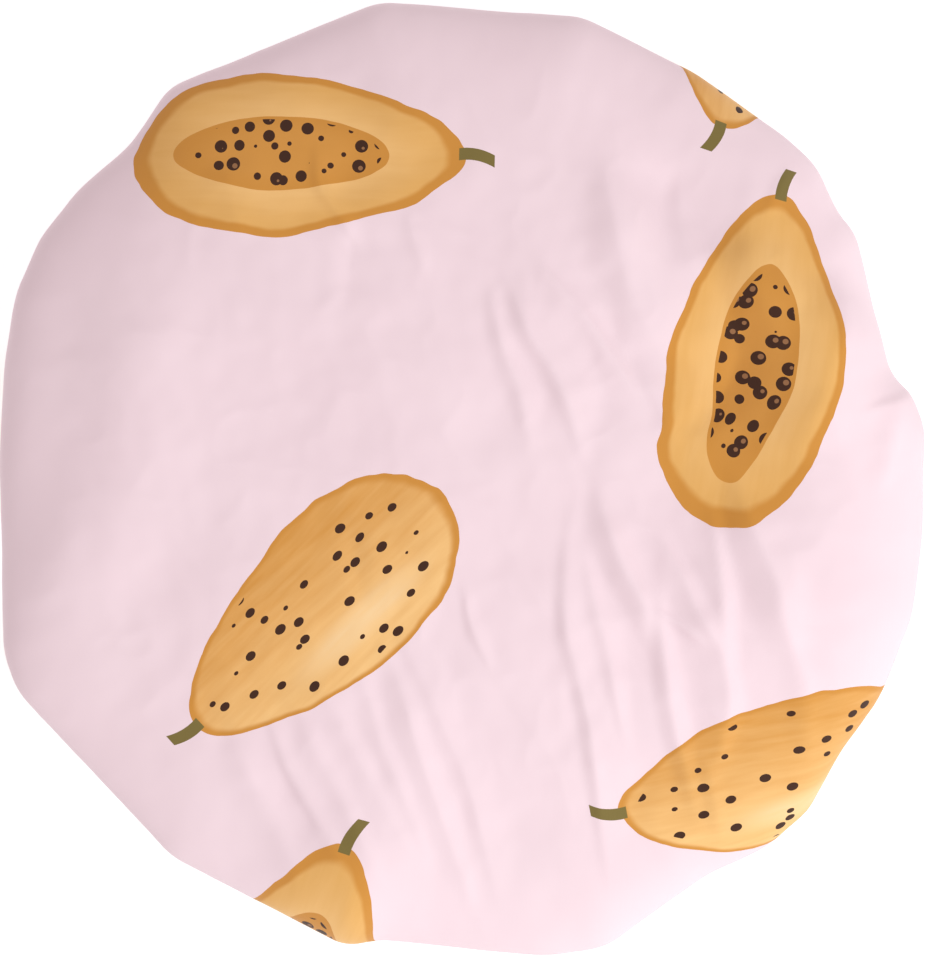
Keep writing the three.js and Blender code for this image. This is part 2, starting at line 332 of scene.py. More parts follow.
# Ridges of the crown's folds, or valleys where the height is below zero: points along the line, height,
# and the widths of the flanks to the left and to the right of the way along it, in millimetres. On a line
# that runs down the photograph, the first flank is the one towards its right edge.
FOLDS = [
    # fan of pleats at the lower left
    ([(-69, -82), (-62, -98), (-53, -114), (-49, -122)], 1.5, 6, 8),
    ([(-59, -75), (-53, -89), (-46, -101), (-40, -111), (-36, -119)], 1.3, 5, 1.8),
    ([(-51, -70), (-45, -82), (-38, -95), (-33, -105), (-26, -119)], 1.1, 3.5, 6),
    ([(-42, -65), (-34, -81), (-27, -94), (-20, -107), (-13, -119)], 0.7, 3, 4.5),
    ([(-32, -58), (-27, -73), (-23, -85), (-18, -97), (-12, -114)], 0.9, 3, 4.5),
    ([(-25, -50), (-21, -60), (-16, -73), (-11, -90), (-6, -106), (1, -125)], 1.6, 4.5, 6),
    ([(-20, -44), (-15, -57), (-9, -68), (-3, -82), (2, -95), (9, -121)], 1.1, 8, 4.4),
    ([(1, -36), (3, -46), (7, -55)], 0.9, 3.1, 1.9),
    # lower middle
    ([(34, -9), (31, -25), (32, -47), (36, -65), (39, -80), (41, -96), (44, -120)], 1.8, 11.2, 3.1),
    ([(38, -30), (42, -44), (44, -53), (46, -66), (49, -78)], 1.4, 4.3, 3.1),
    ([(42, -7), (47, -22), (52, -33), (55, -39), (56, -49)], 2.7, 6.8, 6.2),
    ([(62, -21), (67, -31), (70, -39), (74, -45), (78, -53)], 2.6, 3.7, 9.3),
    ([(59, -40), (62, -42), (67, -45), (72, -49)], 0.9, 1.6, 1.6),
    ([(60, -38), (61, -53), (63, -66), (65, -78), (68, -89), (71, -102)], 2.2, 4, 4),
    ([(76, -16), (78, -38), (79, -53), (81, -68), (79, -80), (75, -93)], 2.9, 4.3, 10.5),
    ([(84, -5), (90, -21), (94, -31), (96, -41), (100, -54)], 3.3, 8.7, 8.7),
    ([(73, -86), (76, -96), (78, -107)], 1.0, 3.7, 1.9),
    ([(100, -54), (103, -68), (105, -82)], 1.4, 4.3, 6.2),
    # broad folds at the upper right
    ([(44, 90), (47, 73), (51, 56), (58, 43), (66, 34)], 2.4, 16, 9),
    ([(67, 90), (67, 80), (69, 70), (73, 60)], 1.3, 9, 5),
    ([(86, 74), (87, 64), (90, 54), (95, 44)], 1.4, 12, 8),
    ([(113, 58), (113, 46), (110, 34), (106, 22), (103, 10)], 3.8, 16, 16),
    ([(73, 64), (80, 54), (84, 44), (84, 35), (80, 26), (73, 16)], -2.4, 9, 20),
    ([(24, 64), (33, 53), (41, 43), (48, 33), (55, 22)], 2.0, 3.4, 6.8),
    ([(15, 56), (22, 42), (28, 31), (33, 20), (36, 10)], 2.8, 10.5, 4.6),
    ([(9, 52), (13, 39), (17, 27), (20, 14)], 1.7, 6, 3.8),
    ([(54, 33), (59, 24), (64, 14)], 1.3, 12.4, 3.7),
    ([(99, 93), (96, 88), (93, 82)], 0.6, 3, 1.9),
    # tuck at the right edge
    ([(122, 20), (127, 22), (131, 23), (137, 26)], 1.2, 1.6, 8),
    ([(130, 23), (129, 16), (127, 8), (125, -2)], 1.4, 4.3, 4.3),
    # upper left
    ([(-45, 99), (-43, 88), (-37, 79), (-32, 72)], 1.1, 5, 2.4),
    ([(-33, 75), (-34, 65), (-35, 55)], -1.0, 12, 5),
    ([(-73, 95), (-70, 86), (-68, 75)], 1.0, 10, 10),
    ([(-16, 77), (-14, 70), (-12, 64)], 0.6, 4, 3),
]


def smoothstep(x):
    """0 below 0 and 1 above 1, with a smooth way between."""
    x = np.clip(x, 0, 1)
    return x * x * (3 - 2 * x)


def unit(vectors):
    """Vectors of the same directions, of length 1."""
    return vectors / np.linalg.norm(vectors, axis=-1, keepdims=True)


def bezier(points, t):
    """Places on a cubic curve with four control points."""
    t = np.asarray(t)
    weights = (1 - t) ** 3, 3 * t * (1 - t) ** 2, 3 * t**2 * (1 - t), t**3
    return sum(w * p for w, p in zip(weights, points))


def edge_radius(bearing):
    """Radius of the outline at bearings in radians: straight stretches with slightly rounded corners."""
    turns = np.radians([corner[0] for corner in OUTLINE])
    radii = np.array([corner[1] for corner in OUTLINE]) * MM
    turns = np.concatenate([turns[-1:] - math.tau, turns, turns[:1] + math.tau])
    radii = np.concatenate([radii[-1:], radii, radii[:1]])
    total = 0
    for shift in np.radians(np.linspace(-CORNER_ROUND, CORNER_ROUND, CORNER_SAMPLES)):
        turn = (bearing + shift) % math.tau
        after = np.searchsorted(turns, turn, side="right")
        a, b = turns[after - 1], turns[after]
        ra, rb = radii[after - 1], radii[after]
        total = total + ra * rb * np.sin(b - a) / (ra * np.sin(turn - a) + rb * np.sin(b - turn))
    return total / CORNER_SAMPLES


def plan_radius(station, bearing):
    """Edge radius that the cap's section uses: the corners of the outline fade towards the middle."""
    share = smoothstep(station / ROUND_MIDDLE)
    return CAP_RADIUS + (edge_radius(bearing) - CAP_RADIUS) * share


def section(station, edge):
    """Radius and height of the smooth outer face. The crown runs out to the rim, the cloth turns under,
    lies on the floor, rises in gathers to the neck, and goes down inside the casing to the hem."""
    fold_end = edge - FOLD_REACH
    rest_end = fold_end - REST_WIDTH
    swing = np.clip(station, 0, 1) * math.pi / 2
    power = 2 / CROWN_FULLNESS
    crown = (
        edge * np.sin(swing) ** power,
        WIDEST_HEIGHT + (CROWN_HEIGHT - WIDEST_HEIGHT) * np.cos(swing) ** power,
    )
    swing = np.clip(station - AT_RIM, 0, 1) * math.pi / 2
    under = (fold_end + FOLD_REACH * np.cos(swing), WIDEST_HEIGHT * (1 - np.sin(swing)))
    t = np.clip(station - AT_FLOOR, 0, 1)
    rest = (fold_end + (rest_end - fold_end) * t, np.zeros_like(t))
    t = np.clip(station - AT_RISE, 0, 1)
    rise = (
        bezier((rest_end, rest_end - PUCKER_START, SHELL_NECK, SHELL_NECK), t),
        bezier((0, 0, NECK_TOP + PUCKER_PULL, NECK_TOP), t),
    )
    t = np.clip(station - AT_NECK, 0, 1)
    neck = (np.full_like(t, SHELL_NECK), NECK_TOP + (HEM_HEIGHT - NECK_TOP) * t)
    stages = [station <= AT_RIM, station <= AT_FLOOR, station <= AT_RISE, station <= AT_NECK]
    parts = [crown, under, rest, rise]
    return tuple(np.select(stages, [p[k] for p in parts], neck[k]) for k in (0, 1))


def inward(station, edge):
    """Direction from the smooth outer face into the cap, in section."""
    r0, z0 = section(np.maximum(station - SECTION_NUDGE, 0), edge)
    r1, z1 = section(np.minimum(station + SECTION_NUDGE, AT_HEM), edge)
    length = np.hypot(r1 - r0, z1 - z0)
    return (z1 - z0) / length, (r0 - r1) / length


def smooth_line(points):
    """A curve through a fold's points that runs on past the first and the last of them."""
    p = np.array(points, float) * MM
    p = np.vstack([p[:1] + RUN_ON * (p[:1] - p[1:2]), p, p[-1:] + RUN_ON * (p[-1:] - p[-2:-1])])
    p = np.vstack([2 * p[0] - p[1], p, 2 * p[-1] - p[-2]])
    t = np.linspace(0, 1, LINE_PARTS, endpoint=False)[:, None]
    stretches = [
        b + 0.5 * t * (c - a + t * (2 * a - 5 * b + 4 * c - d + t * (3 * (b - c) + d - a)))
        for a, b, c, d in zip(p, p[1:], p[2:], p[3:])
    ]
    return np.vstack(stretches + [p[-2:-1]])


def minor_folds():
    """Short faint creases placed by chance, which run about the same way as the folds listed above."""
    rng = np.random.default_rng(MINOR_SEED)
    folds = []
    for _ in range(MINOR_FOLDS):
        bearing = math.radians(rng.uniform(*MINOR_BEARINGS))
        radius = rng.uniform(*MINOR_RADII)
        heading = math.radians(rng.normal(*MINOR_HEADING))
        half = rng.uniform(*MINOR_HALF_LENGTHS)
        middle = np.array([math.cos(bearing), math.sin(bearing)]) * radius
        reach = np.array([math.cos(heading), math.sin(heading)]) * half
        bend = np.array([-reach[1], reach[0]]) * rng.normal(0, MINOR_BEND)
        height = rng.choice([-1, 1]) * rng.uniform(*MINOR_HEIGHTS)
        points = [tuple(middle - reach), tuple(middle + bend), tuple(middle + reach)]
        folds.append((points, height, rng.uniform(*MINOR_FLANKS), rng.uniform(*MINOR_FLANKS)))
    return folds


def tent(distance, width):
    """A fold's height across it: an even flank of the given width, rounded at the crest and the foot."""
    foot = CREST_ROUND / 2 + FOOT_SHARE * width
    distance = np.hypot(distance, CREST_ROUND) - CREST_ROUND
    return np.logaddexp(0, (width - distance) / foot) * foot / width


def fold_relief(place):
    """Height of the crown's folds at places on the floor plan."""
    total = np.zeros(len(place))
    for points, height, left, right in FOLDS + minor_folds():
        line = smooth_line(points)
        left, right = left * MM, right * MM
        margin = FOLD_MARGIN * max(left, right)
        near = np.all((place > line.min(0) - margin) & (place < line.max(0) + margin), axis=1)
        spot = place[near]
        steps = np.linalg.norm(np.diff(line, axis=0), axis=1)
        starts = np.concatenate([[0], np.cumsum(steps)])
        nearest = np.full(len(spot), np.inf)
        along = np.zeros(len(spot))
        side = np.zeros(len(spot))
        for a, b, start, length in zip(line[:-1], line[1:], starts, steps):
            way = (b - a) / length
            t = np.clip((spot - a) @ way, 0, length)
            off = spot - a - t[:, None] * way
            distance = np.linalg.norm(off, axis=1)
            closer = distance < nearest
            nearest = np.where(closer, distance, nearest)
            along = np.where(closer, (start + t) / starts[-1], along)
            side = np.where(closer, way[0] * off[:, 1] - way[1] * off[:, 0], side)
        ends = smoothstep(along / FOLD_FADE) * smoothstep((1 - along) / FOLD_FADE)
        width = np.where(side > 0, left, right) * (1 - FOLD_TAPER + FOLD_TAPER * ends)
        total[near] += height * MM * ends * tent(nearest, width)
    return total


def swell_relief(place):
    """Height of the crown's broad swells at places on the floor plan, fading out at the outline."""
    x, y = place.T
    total = np.zeros(len(place))
    for middle, bearing, length, width, height in SWELLS:
        turn = math.radians(bearing)
        dx, dy = x - middle[0] * MM, y - middle[1] * MM
        along = (dx * math.cos(turn) + dy * math.sin(turn)) / (length * MM)
        across = (dy * math.cos(turn) - dx * math.sin(turn)) / (width * MM)
        total += height * MM * np.exp(-SWELL_SLOPE * (along**2 + across**2))
    reach = np.hypot(x, y) / edge_radius(np.arctan2(y, x))
    return total * (1 - np.clip(reach, 0, 1) ** SWELL_FADE)


def crown_relief(station, place):
    """Height of the crown's folds and swells, which fade out just past the rim."""
    on_crown = 1 - smoothstep((station - CROWN_FADE_START) / CROWN_FADE)
    return (fold_relief(place) + swell_relief(place)) * on_crown


def under_share(station):
    """0 on the crown and 1 on the floor, where the layers lie close together."""
    return smoothstep((station - AT_RIM) / UNDER_FADE)


def gather_turn(bearing):
    """Bearings drawn unevenly together and apart, so that the gathers vary in width."""
    rng = np.random.default_rng(GATHER_SEED)
    for wave in GATHER_WAVES:
        bearing = bearing + GATHER_WARP / wave * np.sin(wave * bearing + rng.uniform(0, math.tau))
    return bearing


def pinch(turn, count):
    """A row of puffs with pinched valleys between them: about 0 on the crests and 1 in the valleys."""
    return 1 - np.sqrt(np.cos(count * turn / 2) ** 2 + PINCH_ROUND)


def gather_relief(station, bearing):
    """Height of the gathers, below zero: crests reach the smooth face and valleys lie inside it."""
    turn = gather_turn(bearing)
    out = np.clip(AT_NECK - station, 0, AT_NECK - AT_RIM)
    near = smoothstep(out / NECK_FADE)
    fine = FINE_DEPTH * near * np.exp(-((out / GATHER_REACH) ** 2))
    middle = MIDDLE_DEPTH * near * np.exp(-(((out - MIDDLE_PLACE) / GATHER_REACH) ** 2))
    one, other = (np.sin(count * bearing + phase) for count, phase in UNEVEN_WAVES)
    uneven = 1 - UNEVEN_SHARE + UNEVEN_SHARE * one * other
    under = smoothstep((station - BROAD_START) / BROAD_RISE) * smoothstep((AT_NECK - station) / BROAD_FALL)
    broad = BROAD_DEPTH * under * uneven
    return -(
        fine * pinch(turn, GATHERS)
        + middle * pinch(turn, GATHERS // 2)
        + broad * pinch(turn, GATHERS // 4)
    )


def crumple(points, size, octaves):
    """Soft unevenness of hand-pressed cloth, about -1 to 1, at points in metres."""
    return np.array([
        noise.fractal(Vector(p / size), CRUMPLE_SMOOTHNESS, OCTAVE_STEP, octaves) for p in points
    ])


def wander(points, size):
    """Shifts on the floor plan that keep the folds from running too straight, about -1 to 1."""
    return np.array([[noise.noise(Vector(p / size + shift)) for shift in WANDER_SHIFTS] for p in points])


def ring_plan(rows, widest_step):
    """Stations and steps of a cloth's rings from the crown's middle to the hem. rows holds the spacing
    in each of the stages."""
    dense = np.linspace(0, AT_HEM, SECTION_SAMPLES)
    r, z = section(dense, np.full(dense.shape, CAP_RADIUS))
    length = np.concatenate([[0], np.cumsum(np.hypot(np.diff(r), np.diff(z)))])
    plan = []
    steps = MIDDLE_STEPS
    for first, last, spacing in zip(STAGES, STAGES[1:], rows):
        start, end = np.interp([first, last], dense, length)
        count = max(2, round((end - start) / spacing))
        for k in range(1, count + 1):
            station = np.interp(start + (end - start) * k / count, length, dense)
            step = math.tau * np.interp(station, dense, r) / steps
            if steps < HEM_STEPS and (step > widest_step or station > HEM_STEPS_FROM):
                steps *= 2
            plan.append((station, steps))
    return plan


def ring_faces(plan):
    """Faces of a sheet whose rings run from a middle point, vertex 0, outwards, and the last ring."""
    faces = []
    near = None
    first = 1
    for _, steps in plan:
        far = range(first, first + steps)
        if near is None:
            faces += [(0, far[k], far[(k + 1) % steps]) for k in range(steps)]
        elif len(near) == steps:
            for k in range(steps):
                n = (k + 1) % steps
                faces.append((near[k], far[k], far[n], near[n]))
        else:
            for k in range(len(near)):
                n = (k + 1) % len(near)
                mid, end = far[2 * k + 1], far[(2 * k + 2) % steps]
                faces.append((near[k], far[2 * k], mid))
                faces.append((near[k], mid, near[n]))
                faces.append((near[n], mid, end))
        near = far
        first += steps
    return faces, list(near)


def vertex_normals(points, faces):
    """Normals of a mesh's points, weighted by the faces' areas."""
    normals = np.zeros_like(points)
    for size in (3, 4):
        group = np.array([f for f in faces if len(f) == size])
        p = points[group]
        across = np.cross(p[:, 2] - p[:, 0], p[:, -1] - p[:, 1])
        for corner in range(size):
            np.add.at(normals, group[:, corner], across)
    return unit(normals)


def add_object(name, data):
    """A new object in the scene."""
    thing = bpy.data.objects.new(name, data)
    bpy.context.scene.collection.objects.link(thing)
    return thing


def make_object(name, points, faces, corner_uv):
    """A smooth mesh object; corner_uv maps the mesh's vertex indices, corner by corner, to UV."""
    mesh = bpy.data.meshes.new(name)
    mesh.from_pydata(points.tolist(), [], faces)
    mesh.polygons.foreach_set("use_smooth", [True] * len(mesh.polygons))
    corner = np.empty(len(mesh.loops), np.int32)
    mesh.loops.foreach_get("vertex_index", corner)
    layer = mesh.uv_layers.new(name="flat")
    layer.data.foreach_set("uv", np.asarray(corner_uv(corner), np.float32).ravel())
    mesh.update()
    return add_object(name, mesh)


def closed_sheet(name, outer, inner):
    """A sheet from its two faces, each given as points, faces, the loop of its cut edge, and UV."""
    count = len(outer[0])
    back = [tuple(count + v for v in reversed(face)) for face in inner[1]]
    rim = list(zip(outer[2], inner[2]))
    edge = [(a, count + c, count + d, b) for (a, c), (b, d) in zip(rim, rim[1:] + rim[:1])]
    points = np.vstack([outer[0], inner[0]])
    uv = np.vstack([outer[3], inner[3]])
    return make_object(name, points, outer[1] + back + edge, lambda corner: uv[corner])


def swept_mesh(name, sections, is_ring, along, around):
    """A closed mesh through a row of closed sections that run anticlockwise seen from the row's start.
    along and around are the UV of the rows and of a section's points, with one value more at a seam."""
    rows, size, _ = sections.shape
    bands = rows if is_ring else rows - 1
    faces = []
    uv = []
    for row in range(bands):
        near, far = row * size, (row + 1) % rows * size
        for k in range(size):
            n = (k + 1) % size
            faces.append((near + k, near + n, far + n, far + k))
            u0, u1 = along[row], along[row + 1]
            v0, v1 = around[k], around[k + 1]
            uv += [(u0, v0), (u0, v1), (u1, v1), (u1, v0)]
    if not is_ring:
        faces.append(tuple(reversed(range(size))))
        faces.append(tuple(range((rows - 1) * size, rows * size)))
        uv += [(along[0], v) for v in around[-2::-1]]
        uv += [(along[-1], v) for v in around[:-1]]
    return make_object(name, sections.reshape(-1, 3), faces, lambda corner: uv)


def round_the_cap(radius, bearing, z):
    """Points from radius, bearing and height, which may be arrays."""
    radius, bearing, z = np.broadcast_arrays(radius, bearing, z)
    return np.stack([radius * np.cos(bearing), radius * np.sin(bearing), z], -1)


def thread_tube(name, path, is_ring):
    """A round thread along a path that never runs straight up."""
    ahead, behind = np.roll(path, -1, 0), np.roll(path, 1, 0)
    if not is_ring:
        ahead[-1], behind[0] = path[-1], path[0]
    way = unit(ahead - behind)
    across = unit(np.cross(way, (0, 0, 1)))
    upward = np.cross(across, way)
    turn = np.arange(THREAD_SIDES) * math.tau / THREAD_SIDES
    ring = np.cos(turn)[:, None] * across[:, None] + np.sin(turn)[:, None] * upward[:, None]
    sections = path[:, None] + THREAD_DIAMETER / 2 * ring
    gaps = np.linalg.norm(ahead - path, axis=1)
    along = np.concatenate([[0], np.cumsum(gaps)])
    around = np.arange(THREAD_SIDES + 1) / THREAD_SIDES
    return swept_mesh(name, sections, is_ring, along, around)


def cloth_places(plan):
    """Station and bearing of each point of a plan's rings, the middle first."""
    stations = [np.zeros(1)] + [np.full(steps, station) for station, steps in plan]
    bearings = [np.zeros(1)] + [np.arange(steps) * math.tau / steps for _, steps in plan]
    return np.concatenate(stations), np.concatenate(bearings)


def flat_places(station, bearing):
    """Where each point lay in the flat round cut: its distance from the middle runs along the cap, and is
    looked up between sections of whole edge radii in millimetres."""
    lowest, highest = FLAT_RADII
    dense = np.linspace(0, AT_HEM, AT_HEM * FLAT_ROWS + 1)
    radii = np.arange(lowest, highest + 1) * MM
    r, z = section(dense[:, None], radii[None, :])
    steps = np.hypot(np.diff(r, axis=0), np.diff(z, axis=0))
    length = np.vstack([np.zeros(len(radii)), np.cumsum(steps, 0)])
    row = station * FLAT_ROWS
    column = edge_radius(bearing) / MM - lowest
    i = row.astype(int).clip(0, len(dense) - 2)
    j = column.astype(int).clip(0, len(radii) - 2)
    u, v = row - i, column - j
    distance = (
        length[i, j] * (1 - u) * (1 - v)
        + length[i + 1, j] * u * (1 - v)
        + length[i, j + 1] * (1 - u) * v
        + length[i + 1, j + 1] * u * v
    )
    return np.stack([distance * np.cos(bearing), distance * np.sin(bearing)], -1)


def cloth_points(station, bearing, depth):
    """Points of a cloth at a depth inwards from the smooth outer face."""
    edge = plan_radius(station, bearing)
    r, z = section(station, edge)
    in_r, in_z = inward(station, edge)
    return round_the_cap(r + in_r * depth, bearing, z + in_z * depth)


def cloth_crumple(station, bearing):
    """Height of the chance crumples of the printed cloth, slight at the rim and none in the gathers."""
    smooth = cloth_points(station, bearing, 0)
    soft_height, *soft_kind = SOFT_CRUMPLE
    sharp_height, *sharp_kind = SHARP_CRUMPLE
    soft = soft_height * crumple(smooth, *soft_kind)
    sharp = sharp_height * (SHARP_LEVEL - np.abs(crumple(smooth + SHARP_SHIFT, *sharp_kind)))
    taut = 1 - RIM_CALM * np.exp(-(((station - AT_RIM) / RIM_CALM_REACH) ** 2))
    return (soft + sharp) * taut * smoothstep((AT_NECK - station) / CRUMPLE_FADE)


def shell_face(rows, widest_step):
    """The outer face of the printed cloth, with its folds and gathers, and each point's share on the crown,
    from 1 there to 0 on the floor."""
    plan = ring_plan(rows, widest_step)
    station, bearing = cloth_places(plan)
    smooth = cloth_points(station, bearing, 0)
    relief = crown_relief(station, smooth[:, :2] + FOLD_WANDER * wander(smooth, WANDER_SIZE))
    relief += gather_relief(station, bearing) + cloth_crumple(station, bearing)
    points = cloth_points(station, bearing, -relief)
    points[:, 2] = np.maximum(points[:, 2], FLOOR_GAP)
    faces, rim = ring_faces(plan)
    return (points, faces, rim, flat_places(station, bearing)), 1 - under_share(station)


def make_shell():
    """The printed cloth. Its inner face, which nobody sees, is coarser and keeps clear below the folds."""
    outer, _ = shell_face(SHELL_ROWS, SHELL_STEP)
    (points, faces, rim, uv), drop = shell_face(HIDDEN_ROWS, HIDDEN_STEP)
    depth = SHELL_THICKNESS + HIDDEN_DROP * drop
    inner = points - depth[:, None] * vertex_normals(points, faces)
    return closed_sheet("outer_cloth", outer, (inner, faces, rim, uv))


def make_lining():
    """The film, which hangs free below the crown and follows the printed cloth closely from the floor on."""
    plan = ring_plan(HIDDEN_ROWS, HIDDEN_STEP)
    station, bearing = cloth_places(plan)
    spread = np.clip((station - AT_RIM) / (AT_RISE - AT_RIM), 0, 1)
    depth = SHELL_THICKNESS + LINING_DROP + (LAYER_GAP - LINING_DROP) * spread
    smooth = cloth_points(station, bearing, depth)
    follow = under_share(station)
    film_height, *film_kind = FILM_CRUMPLE
    own = film_height * crumple(smooth, *film_kind)
    relief = gather_relief(station, bearing) + crown_relief(station, smooth[:, :2])
    relief += own * (1 - follow) + cloth_crumple(station, bearing) * follow
    points = cloth_points(station, bearing, depth - relief)
    points[:, 2] = np.maximum(points[:, 2], FLOOR_GAP + SHELL_THICKNESS + LAYER_GAP / 2)
    faces, rim = ring_faces(plan)
    uv = flat_places(station, bearing)
    inner = points - LINING_THICKNESS * vertex_normals(points, faces)
    return closed_sheet("inner_film", (points, faces, rim, uv), (inner, faces, rim, uv))


def casing_half(leg, crest):
    """Half of the casing's middle line from its upper edge down to the fold: reach and height at each
    bearing. leg is the reach of the pressed upper part, and crest is 0 in the ruffle's valleys and 1 on
    its crests."""
    wall = TUNNEL_REACH + CASING_RUFFLE * crest
    wall_height = (ELASTIC_BOTTOM + ELASTIC_TOP) / 2
    low = CASING_LIFT + RUFFLE_LIFT * (1 - crest)
    leg_t = np.linspace(0, 1, LEG_POINTS)[:-1, None]
    wall_t = np.linspace(0, 1, BEND_POINTS)[:-1, None]
    fold_t = np.linspace(0, 1, BEND_POINTS)[:, None]
    even = np.ones_like(crest)
    reach = np.vstack([
        np.full_like(leg_t, leg) * even,
        bezier((leg, leg, wall, wall), wall_t),
        bezier((wall, wall, TUNNEL_ROUND * wall, 0), fold_t),
    ])
    height = np.vstack([
        (CASING_TOP + (GRIP_HEIGHT - CASING_TOP) * leg_t) * even,
        bezier((GRIP_HEIGHT, GRIP_HEIGHT - TUNNEL_EASE, ELASTIC_TOP, wall_height), wall_t) * even,
        bezier((wall_height, TUNNEL_LOW, low, low), fold_t),
    ])
    return reach, height


def make_casing():
    """The strip folded round the gathered edge, pressed flat above and ruffled round the tunnel below."""
    bearing = np.arange(HEM_STEPS) * math.tau / HEM_STEPS
    uneven = 1 - RUFFLE_UNEVEN + RUFFLE_UNEVEN * np.sin(RUFFLE_WAVES * bearing)
    crest = 1 - pinch(gather_turn(bearing), GATHERS) * uneven
    outer_reach, outer_height = casing_half(OUTER_LEG, crest)
    inner_reach, inner_height = casing_half(INNER_LEG, crest)
    reach = np.vstack([outer_reach, -inner_reach[-2::-1]])
    height = np.vstack([outer_height, inner_height[-2::-1]])
    along = np.gradient(reach, axis=0), np.gradient(height, axis=0)
    length = np.hypot(*along)
    out_r, out_z = -along[1] / length, along[0] / length
    thick_reach = reach + out_r * CASING_THICKNESS
    thick_height = np.maximum(height + out_z * CASING_THICKNESS, CASING_LIFT)
    reach = np.vstack([thick_reach, reach[::-1]])
    height = np.vstack([thick_height, height[::-1]])
    sections = round_the_cap(ELASTIC_RADIUS + reach.T, bearing[:, None], height.T)
    strip = np.linspace(0, CASING_CUT[0], len(thick_reach))
    around = np.concatenate([strip, strip[::-1], strip[:1]])
    rows = np.linspace(0, CASING_CUT[1], HEM_STEPS + 1)
    return swept_mesh("casing_strip", sections, True, rows, around)


def make_elastic():
    """One strip, ribbed along its length, that winds outwards so that its two ends lie over each other."""
    bearing = np.linspace(0, math.tau + ELASTIC_OVERLAP / ELASTIC_RADIUS, ELASTIC_STEPS)
    middle = ELASTIC_RADIUS + ELASTIC_PITCH * (bearing / math.tau - 0.5)
    across = np.linspace(0, 1, RIB_POINTS * ELASTIC_RIBS + 1)
    rib = RIB_DEPTH * np.abs(np.sin(math.pi * ELASTIC_RIBS * across)) - RIB_DEPTH
    half = ELASTIC_THICKNESS / 2 + rib
    height = ELASTIC_BOTTOM + (ELASTIC_TOP - ELASTIC_BOTTOM) * across
    offset = np.concatenate([half[::-1], -half])
    level = np.concatenate([height[::-1], height])
    sections = round_the_cap(middle[:, None] + offset, bearing[:, None], level)
    around = np.concatenate([across[::-1], 1 + across, [2]])
    return swept_mesh("elastic_strip", sections, False, bearing * ELASTIC_RADIUS, around)


def make_tack():
    """The zigzag that holds the elastic's overlapped ends together."""
    strokes = np.linspace(0, TACK_STROKES, STROKE_POINTS * TACK_STROKES + 1)
    swing = np.arcsin(TACK_SHARPNESS * np.sin(math.pi * (strokes - 0.5))) / math.asin(TACK_SHARPNESS)
    along = (ELASTIC_OVERLAP - TACK_LENGTH) / 2 + TACK_LENGTH * strokes / TACK_STROKES
    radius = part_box("elastic_tack")[1].x - THREAD_DIAMETER / 2
    middle = (ELASTIC_TOP + ELASTIC_BOTTOM) / 2
    path = round_the_cap(radius, along / ELASTIC_RADIUS, middle + swing * TACK_HEIGHT / 2)
    return thread_tube("elastic_zigzag", path, False)


def make_seam(name, reach, side):
    """A row of lockstitches round the casing: the thread lies on its face and dips in at each hole.
    reach is the casing's face, and side is 1 where the thread lies outside it and -1 inside."""
    radius = ELASTIC_RADIUS + side * (reach + THREAD_DIAMETER / 2)
    stitches = round(math.tau * radius / STITCH_LENGTH)
    place = np.arange(stitches * STITCH_POINTS) / STITCH_POINTS
    phase = place % 1
    dip = 1 - smoothstep(np.minimum(phase, 1 - phase) / STITCH_BEND)
    slant = STITCH_SLANT * np.sin(math.tau * phase)
    bearing = place * math.tau / stitches
    path = round_the_cap(radius - side * STITCH_DIP * dip, bearing, SEAM_HEIGHT + slant)
    return thread_tube(name, path, True)


class Wire:
    """An output in a material's node tree. Arithmetic on wires adds math nodes to the tree."""

    def __init__(self, socket):
        self.socket = socket
        self.tree = socket.id_data

    def math(self, operation, *others):
        node = self.tree.nodes.new("ShaderNodeMath")
        node.operation = operation
        for slot, value in zip(node.inputs, (self, *others)):
            feed(slot, value)
        return Wire(node.outputs[0])

    def __add__(self, other):
        return self.math("ADD", other)

    def __sub__(self, other):
        return self.math("SUBTRACT", other)

    def __mul__(self, other):
        return self.math("MULTIPLY", other)

    def __truediv__(self, other):
        return self.math("DIVIDE", other)

    def below(self, limit):
        return self.math("LESS_THAN", limit)

    def above(self, limit):
        return self.math("GREATER_THAN", limit)

    def fade(self, start, end):
        """0 at start and 1 at end, with a smooth way between."""
        node = self.tree.nodes.new("ShaderNodeMapRange")
        node.interpolation_type = "SMOOTHSTEP"
        feed(node.inputs["Value"], self)
        feed(node.inputs["From Min"], start)
        feed(node.inputs["From Max"], end)
        return Wire(node.outputs["Result"])


def feed(slot, value):
    """Links a wire to a node's input, or sets the input's own value."""
    if isinstance(value, Wire):
        value.tree.links.new(value.socket, slot)
    elif isinstance(value, tuple):
        slot.default_value = (*value, 1)
    else:
        slot.default_value = value


def new_material(name):
    """A material with its shader, and the flat UV in metres as two wires."""
    material = bpy.data.materials.new(name)
    material.use_nodes = True
    nodes = material.node_tree.nodes
    place = nodes.new("ShaderNodeUVMap")
    place.uv_map = "flat"
    split = nodes.new("ShaderNodeSeparateXYZ")
    material.node_tree.links.new(place.outputs["UV"], split.inputs["Vector"])
    return material, nodes["Principled BSDF"], Wire(split.outputs["X"]), Wire(split.outputs["Y"])


def vector(x, y, z=0.0):
    """A vector wire from wires or numbers, the first of which is a wire."""
    node = x.tree.nodes.new("ShaderNodeCombineXYZ")
    feed(node.inputs["X"], x)
    feed(node.inputs["Y"], y)
    feed(node.inputs["Z"], z)
    return Wire(node.outputs["Vector"])


def cloudy(x, y, x_size, y_size, detail=2.0):
    """Noise about 0.5, with clouds of the given sizes."""
    node = x.tree.nodes.new("ShaderNodeTexNoise")
    feed(node.inputs["Vector"], vector(x / x_size, y / y_size))
    feed(node.inputs["Scale"], 1.0)
    feed(node.inputs["Detail"], detail)
    return Wire(node.outputs["Fac"])


